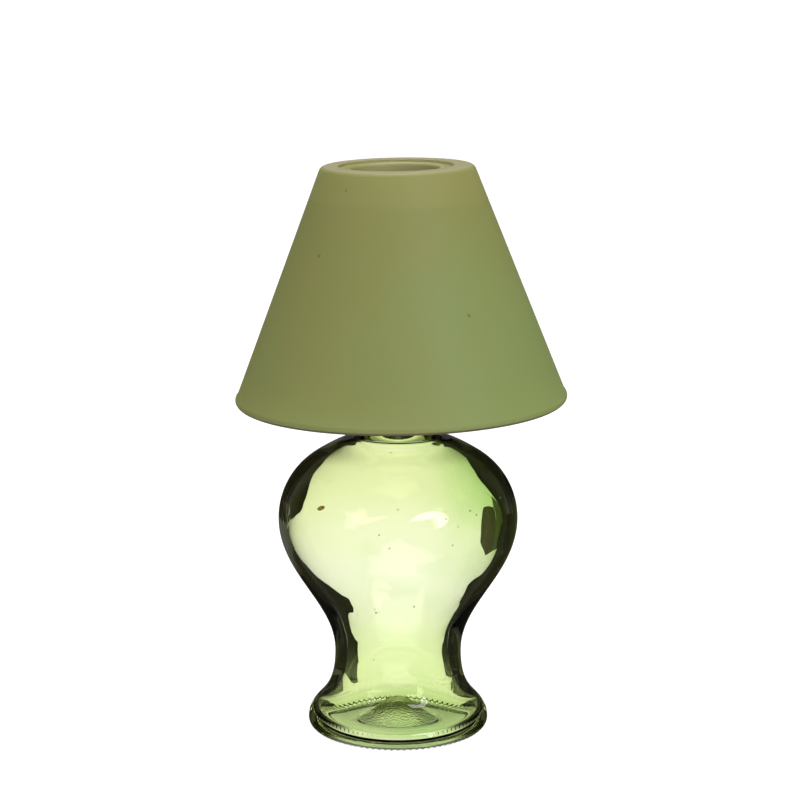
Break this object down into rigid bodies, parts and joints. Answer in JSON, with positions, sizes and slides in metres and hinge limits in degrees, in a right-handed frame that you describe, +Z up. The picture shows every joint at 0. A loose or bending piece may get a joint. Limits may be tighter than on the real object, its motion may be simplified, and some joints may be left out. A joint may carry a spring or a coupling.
{
  "type": "tealight holder",
  "caption": "Lamp-shaped glass tealight holder: a clear green vase carries a loose frosted cone shade with a tealight well in its flat top.",
  "frame": {"origin": "on the vase's axis, at the plane of the foot's bearing ring that stands on the table", "axes": "+Z up along the vase's axis; -Y is the front that the picture shows, +X is to its right. The shade leans 0.95 degrees towards -X"},
  "size_m": [0.1499, 0.1498, 0.2606],
  "materials": {
    "clear_green_glass": "polished",
    "frosted_green_glass": "satin"
  },
  "bodies": {
    "vase": {"vase_base": "clear_green_glass"},
    "shade": {"frosted_shade": "frosted_green_glass"}
  },
  "joints": [
    {"name": "shade_lift", "type": "slide", "parent": "vase", "child": "shade", "axis": [0, 0, 1], "range_m": [0, 0.1]}
  ]
}
